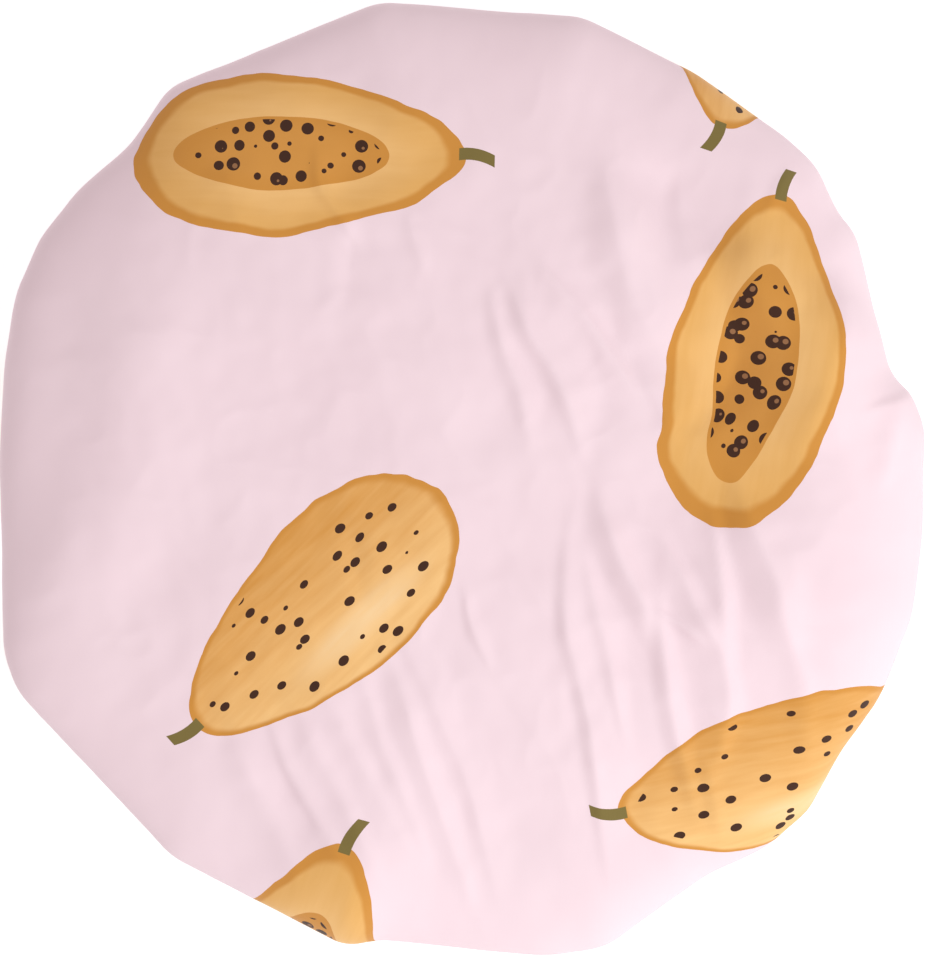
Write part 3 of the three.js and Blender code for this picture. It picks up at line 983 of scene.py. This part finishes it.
def mottled(x, y, size, detail=2.0):
    """Noise about 0.5, with clouds that are as long as wide."""
    return cloudy(x, y, size, size, detail)


def dots(x, y, spacing, layout):
    """Distance to the nearest of scattered points, as a share of their spacing. layout is a number that
    sets where the points lie."""
    node = x.tree.nodes.new("ShaderNodeTexVoronoi")
    node.voronoi_dimensions = "3D"
    feed(node.inputs["Vector"], vector(x / spacing, y / spacing, layout))
    feed(node.inputs["Scale"], 1.0)
    feed(node.inputs["Randomness"], DOT_SCATTER)
    return Wire(node.outputs["Distance"])


def oval(x, y, middle=(0.0, 0.0), size=(1.0, 1.0)):
    """Distance from an oval's middle, 1 on its line."""
    x = (x - middle[0]) / size[0]
    y = (y - middle[1]) / size[1]
    return (x * x + y * y).math("SQRT")


def blend(share, first, second):
    """Colour between first and second, each a colour or a wire."""
    node = share.tree.nodes.new("ShaderNodeMix")
    node.data_type = "RGBA"
    feed(node.inputs[0], share)
    feed(node.inputs[6], first)
    feed(node.inputs[7], second)
    return Wire(node.outputs[2])


def set_roughness(shader, share, spread, lowest):
    """Roughness that varies with a share of about 0 to 1."""
    feed(shader.inputs["Roughness"], share * spread + lowest)


def set_bump(shader, height, distance, strength):
    """Fine relief that is too small for the mesh."""
    node = height.tree.nodes.new("ShaderNodeBump")
    feed(node.inputs["Height"], height)
    feed(node.inputs["Distance"], distance)
    feed(node.inputs["Strength"], strength)
    feed(shader.inputs["Normal"], Wire(node.outputs["Normal"]))


def weave(u, v):
    """Height of a plain weave, about -1 to 1, with threads of uneven thickness."""
    warp = (u * (math.tau / THREAD_PITCH)).math("SINE")
    weft = (v * (math.tau / THREAD_PITCH)).math("SINE")
    slubs = cloudy(u, v, *SLUB_SIZE) + cloudy(u, v, *reversed(SLUB_SIZE))
    return warp * weft * 0.5 + slubs - 1.0


def tossed_places(u, v):
    """Places along and across the fruit of each lattice cell, which is turned and shifted by chance, with
    the fruit's kind, 0 or 1, and the layout of its dots."""
    column = (u / PRINT_CELL[0]).math("FLOOR")
    stagger = column.math("FLOORED_MODULO", 2.0) * 0.5
    row = (v / PRINT_CELL[1] + stagger).math("FLOOR")
    chance = u.tree.nodes.new("ShaderNodeTexWhiteNoise")
    chance.noise_dimensions = "2D"
    feed(chance.inputs["Vector"], vector(column + 0.5, row + 0.5))
    turn = Wire(chance.outputs["Value"]) * math.tau
    split = u.tree.nodes.new("ShaderNodeSeparateColor")
    feed(split.inputs["Color"], Wire(chance.outputs["Color"]))
    red, green, blue = (Wire(split.outputs[name]) for name in ("Red", "Green", "Blue"))
    p = u - (column + 0.5) * PRINT_CELL[0] + (red - 0.5) * PRINT_JITTER[0]
    q = v - (row + 0.5 - stagger) * PRINT_CELL[1] + (green - 0.5) * PRINT_JITTER[1]
    cosine, sine = turn.math("COSINE"), turn.math("SINE")
    along = p * cosine + q * sine
    across = q * cosine - p * sine
    kind = (column + row).math("FLOORED_MODULO", 2.0)
    return along, across, kind, blue * SEED_LAYOUTS


def tone(change, brush, weights):
    """Share of the second of two colours, from the weights of a change and of brush marks, and a level."""
    broad, marks, level = weights
    return change * broad + brush * marks + level


def fruit_print(u, v, ground):
    """Halved and whole papayas tossed over the ground colour."""
    u = u - PRINT_SHIFT[0]
    v = v - PRINT_SHIFT[1]
    along, across, kind, layout = tossed_places(u, v)
    x = along / (FRUIT_SIZE[0] / 2)
    y = across / (FRUIT_SIZE[1] / 2)
    wobble = (mottled(u, v, WOBBLE_SIZE) - 0.5) * WOBBLE
    reach = oval(x, y / (x * FRUIT_TAPER + FRUIT_GIRTH)) + wobble
    brush = cloudy(along, across, *BRUSH_SIZE, CLOUD_DETAIL)

    flesh = blend(tone(reach.fade(*FLESH_FADE), brush, FLESH_TONE), GOLD_LIGHT, GOLD)
    half = blend(reach.fade(*HALF_RIND), flesh, AMBER)
    hollow = oval(x, y, HOLLOW_PLACE, HOLLOW_SIZE) + wobble
    cavity = blend(tone(hollow.fade(*HOLLOW_FADE), brush, HOLLOW_TONE), GOLD_DEEP, AMBER)
    half = blend(hollow.below(1.0), half, cavity)
    seeds = dots(along, across, SEED_SPACING, layout).below(SEED_RADIUS) * hollow.below(SEED_ZONE)
    shine = dots(along + SHINE_SHIFT[0], across - SHINE_SHIFT[1], SEED_SPACING, layout).below(SHINE_RADIUS)
    half = blend(seeds, half, blend(shine, SEED_BROWN, SEED_SHINE))

    whole = blend(tone(y.fade(*SKIN_FADE), brush, SKIN_TONE), GOLD_LIGHT, GOLD_DEEP)
    glow = oval(x, y, GLOW_PLACE, GLOW_SIZE).fade(*GLOW_FADE)
    whole = blend(glow * brush * GLOW_STRENGTH, whole, GOLD_PALE)
    whole = blend(reach.fade(*WHOLE_RIND), whole, AMBER)
    freckles = dots(along * FRECKLE_STRETCH, across, FRECKLE_SPACING, layout).below(FRECKLE_RADIUS)
    whole = blend(freckles * reach.below(FRECKLE_ZONE), whole, SEED_BROWN)

    printed = blend(reach.below(1.0), ground, blend(kind, half, whole))
    bend = (x + 1.0) * (x + 1.0) * STALK_BEND
    on_stalk = (y - bend).math("ABSOLUTE").below(STALK_WIDTH)
    stalk = on_stalk * x.above(STALK_ENDS[0]) * x.below(STALK_ENDS[1])
    return blend(stalk, printed, STALK_GREEN)


def finish_cloth(shader, u, v, relief):
    """Roughness, sheen and weave of a woven cloth."""
    set_roughness(shader, mottled(u, v, CLOTH_CLOUD), *CLOTH_ROUGHNESS)
    shader.inputs["Sheen Weight"].default_value = CLOTH_SHEEN
    shader.inputs["Sheen Roughness"].default_value = CLOTH_SHEEN_ROUGHNESS
    shader.inputs["Specular IOR Level"].default_value = CLOTH_SPECULAR
    set_bump(shader, weave(u, v), *relief)


def printed_cloth():
    material, shader, u, v = new_material("printed_cloth")
    ground = blend(mottled(u, v, PRINT_CLOUD, CLOUD_DETAIL), PINK, PINK_SHADE)
    feed(shader.inputs["Base Color"], fruit_print(u, v, ground))
    finish_cloth(shader, u, v, PRINT_WEAVE)
    return material


def casing_cloth():
    material, shader, u, v = new_material("casing_cloth")
    clouds = mottled(u, v, CASING_CLOUD, CLOUD_DETAIL)
    feed(shader.inputs["Base Color"], blend(clouds, PINK, PINK_SHADE))
    finish_cloth(shader, u, v, CASING_WEAVE)
    return material


def lining_film():
    material, shader, u, v = new_material("lining_film")
    feed(shader.inputs["Base Color"], blend(mottled(u, v, FILM_CLOUD), FILM_WHITE, FILM_SHADE))
    set_roughness(shader, mottled(u, v, FILM_HAZE), *FILM_ROUGHNESS)
    emboss = dots(u, v, EMBOSS_SPACING, 0.0) + mottled(u, v, EMBOSS_CLOUD, EMBOSS_DETAIL)
    set_bump(shader, emboss, *EMBOSS)
    return material


def elastic_knit():
    material, shader, u, v = new_material("elastic_knit")
    stitch = ((u / KNIT_LENGTH + v * KNIT_SLANT).math("FRACT") - 0.5).math("ABSOLUTE")
    # The knit is painted darker where its stitch relief is low: painted shade in the grooves, not a colour
    # of the yarn.
    feed(shader.inputs["Base Color"], blend(stitch * KNIT_GROOVE_SHADING, ELASTIC_GROOVE_SHADE, ELASTIC_WHITE))
    set_roughness(shader, cloudy(u, v, *KNIT_CLOUD), *KNIT_ROUGHNESS)
    set_bump(shader, stitch, *KNIT_RELIEF)
    return material


def sewing_thread():
    material, shader, u, v = new_material("sewing_thread")
    twist = ((u / TWIST_LENGTH + v * TWIST_STRANDS) * math.tau).math("SINE")
    # The thread is painted darker where its twist relief is low: painted shade between the strands, not a
    # colour of the thread.
    feed(shader.inputs["Base Color"], blend(twist * 0.5 + 0.5, THREAD_GROOVE_SHADE, THREAD_PINK))
    set_roughness(shader, twist, *TWIST_ROUGHNESS)
    set_bump(shader, twist, *TWIST_RELIEF)
    return material


def finish_piece(piece, node, material):
    """Gives a piece its material and slot, hides the frame's node that it stands for, and attaches it to the
    root body.
    """
    piece.data.materials.append(material)
    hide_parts(node)
    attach(piece, "root")


def make_floor():
    """A plain white floor, lit a little from within so that no shadow greys it."""
    mesh = bpy.data.meshes.new("floor")
    corners = [(x * FLOOR_REACH, y * FLOOR_REACH, 0) for x, y in ((-1, -1), (1, -1), (1, 1), (-1, 1))]
    mesh.from_pydata(corners, [], [(0, 1, 2, 3)])
    floor = add_object("floor", mesh)
    material = bpy.data.materials.new("light_table")
    material.use_nodes = True
    shader = material.node_tree.nodes["Principled BSDF"]
    feed(shader.inputs["Base Color"], FLOOR_GREY)
    feed(shader.inputs["Roughness"], FLOOR_ROUGHNESS)
    feed(shader.inputs["Emission Color"], WHITE)
    feed(shader.inputs["Emission Strength"], FLOOR_GLOW)
    floor.data.materials.append(material)


def make_camera():
    """A camera straight above the cap, with the photograph's frame at the height of the cap's rim."""
    data = bpy.data.cameras.new("camera")
    data.sensor_fit = "VERTICAL"
    data.sensor_height = SENSOR_HEIGHT
    half_height = PHOTO_SIZE[1] / 2 * PIXEL
    data.lens = data.sensor_height / 2 * (CAMERA_DISTANCE - WIDEST_HEIGHT) / half_height
    camera = add_object("camera", data)
    camera.location = (0, 0, CAMERA_DISTANCE)
    bpy.context.scene.camera = camera


def make_lights():
    """An even room light, and a softbox from the lower right of the photograph."""
    world = bpy.data.worlds.new("studio")
    world.use_nodes = True
    background = world.node_tree.nodes["Background"]
    feed(background.inputs["Color"], ROOM_COLOUR)
    feed(background.inputs["Strength"], ROOM_STRENGTH)
    bpy.context.scene.world = world
    data = bpy.data.lights.new("softbox", "AREA")
    data.shape = "DISK"
    data.size = SOFTBOX_SIZE
    data.energy = SOFTBOX_POWER
    data.color = SOFTBOX_COLOUR
    elevation = math.radians(SOFTBOX_ELEVATION)
    bearing = math.radians(SOFTBOX_BEARING)
    way = Vector(round_the_cap(math.cos(elevation), bearing, math.sin(elevation)))
    softbox = add_object("softbox", data)
    softbox.location = way * SOFTBOX_DISTANCE
    softbox.rotation_euler = way.to_track_quat("Z", "Y").to_euler()
    bpy.context.scene.view_settings.view_transform = "Standard"


shell = make_shell()
lining = make_lining()
casing = make_casing()
thread = sewing_thread()
finish_piece(shell, "outer_shell", printed_cloth())
finish_piece(lining, "waterproof_lining", lining_film())
finish_piece(casing, "edge_casing", casing_cloth())
finish_piece(make_elastic(), "elastic_band", elastic_knit())
finish_piece(make_tack(), "elastic_tack", thread)
needle = make_seam("needle_thread", OUTER_LEG + CASING_THICKNESS, 1)
bobbin = make_seam("bobbin_thread", INNER_LEG + CASING_THICKNESS, -1)
finish_piece(needle, "seam_needle_thread", thread)
finish_piece(bobbin, "seam_bobbin_thread", thread)

make_floor()
make_camera()
make_lights()
